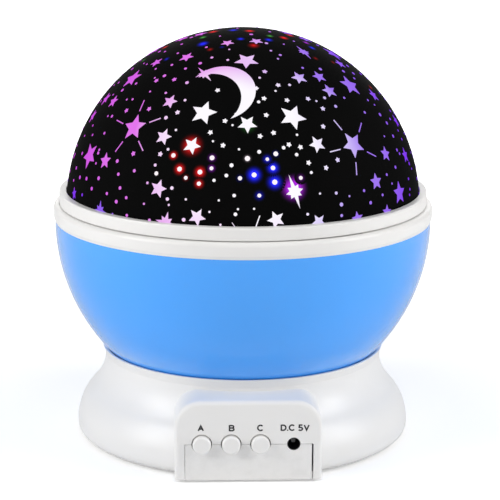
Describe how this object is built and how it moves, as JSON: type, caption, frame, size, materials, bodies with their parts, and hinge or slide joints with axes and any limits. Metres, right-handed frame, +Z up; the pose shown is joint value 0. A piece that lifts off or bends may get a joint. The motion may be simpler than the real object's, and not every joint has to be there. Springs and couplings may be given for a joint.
{
  "type": "star night light projector",
  "caption": "Round night light: a black dome with lit star windows on a turning bowl, over a flared base with push buttons and a power jack.",
  "frame": {"origin": "on the upright axis of the lamp, at the plane that its feet stand on", "axes": "+Z up through the dome; -Y towards the control panel; +X to the right of someone facing the panel"},
  "size_m": [0.12, 0.12, 0.13],
  "materials": {
    "white_plastic": "gloss",
    "blue_plastic": "gloss",
    "dome_plastic": "gloss",
    "reflector_plastic": "satin",
    "rubber": "matte",
    "steel": "satin",
    "contact_metal": "satin",
    "cell_jacket": "satin",
    "circuit_board": "satin",
    "lamp_board": "satin",
    "black_plastic": "satin",
    "gear_plastic": "satin",
    "lamp_clear": "gloss",
    "lamp_red": "gloss",
    "lamp_green": "gloss",
    "lamp_blue": "gloss",
    "wire": "satin"
  },
  "bodies": {
    "base": {"base_housing": "white_plastic", "base_plate": "white_plastic", "rubber_feet": "rubber", "case_screws": "steel", "battery_cells": "cell_jacket", "front_contacts": "contact_metal", "back_contacts": "contact_metal", "control_board": "circuit_board", "push_switch_a": "black_plastic", "push_switch_b": "black_plastic", "push_switch_c": "black_plastic", "dc_jack": "black_plastic", "dc_jack_pin": "steel", "gear_motor": "steel", "motor_screws": "steel", "board_screws": "steel", "thrust_washer": "gear_plastic", "retaining_ring": "steel", "lamp_post": "white_plastic", "led_board": "lamp_board", "led_white": "lamp_clear", "led_red": "lamp_red", "led_green": "lamp_green", "led_blue": "lamp_blue", "lamp_wires": "wire", "motor_leads": "wire", "battery_leads": "wire"},
    "bowl": {"bowl_shell": "blue_plastic", "rim_ring": "white_plastic", "light_deck": "reflector_plastic", "ring_gear": "gear_plastic", "gear_screws": "steel"},
    "collar": {"dome_collar": "white_plastic"},
    "dome": {"dome_shell": "dome_plastic"},
    "pinion": {"drive_pinion": "gear_plastic", "motor_shaft": "steel"},
    "door": {"battery_door": "white_plastic", "door_screw": "steel"},
    "button_a": {"button_a": "white_plastic", "plunger_a": "gear_plastic"},
    "button_b": {"button_b": "white_plastic", "plunger_b": "gear_plastic"},
    "button_c": {"button_c": "white_plastic", "plunger_c": "gear_plastic"}
  },
  "joints": [
    {"name": "bowl_turn", "type": "hinge", "parent": "base", "child": "bowl", "pos_m": [0, 0, 0.0262], "axis": [0, 0, 1], "continuous": true},
    {"name": "pinion_turn", "type": "hinge", "parent": "base", "child": "pinion", "pos_m": [0.033, 0, 0.0228], "axis": [0, 0, 1], "continuous": true},
    {"name": "cover_twist", "type": "hinge", "parent": "bowl", "child": "collar", "pos_m": [0, 0, 0.0732], "axis": [0, 0, 1], "range_deg": [0, 25]},
    {"name": "cover_lift", "type": "slide", "parent": "collar", "child": "dome", "axis": [0, 0, 1], "range_m": [0, 0.06]},
    {"name": "press_a", "type": "slide", "parent": "base", "child": "button_a", "axis": [0, 1, 0], "range_m": [0, 0.0015], "stiffness_N_per_m": 150, "springref_m": -0.002},
    {"name": "press_b", "type": "slide", "parent": "base", "child": "button_b", "axis": [0, 1, 0], "range_m": [0, 0.0015], "stiffness_N_per_m": 150, "springref_m": -0.002},
    {"name": "press_c", "type": "slide", "parent": "base", "child": "button_c", "axis": [0, 1, 0], "range_m": [0, 0.0015], "stiffness_N_per_m": 150, "springref_m": -0.002},
    {"name": "battery_door_open", "type": "hinge", "parent": "base", "child": "door", "pos_m": [0, -0.026, 0.0028], "axis": [-1, 0, 0], "range_deg": [0, 25]}
  ],
  "couplings": [
    {"joint": "pinion_turn", "follows": "bowl_turn", "ratio": -4.5}
  ]
}
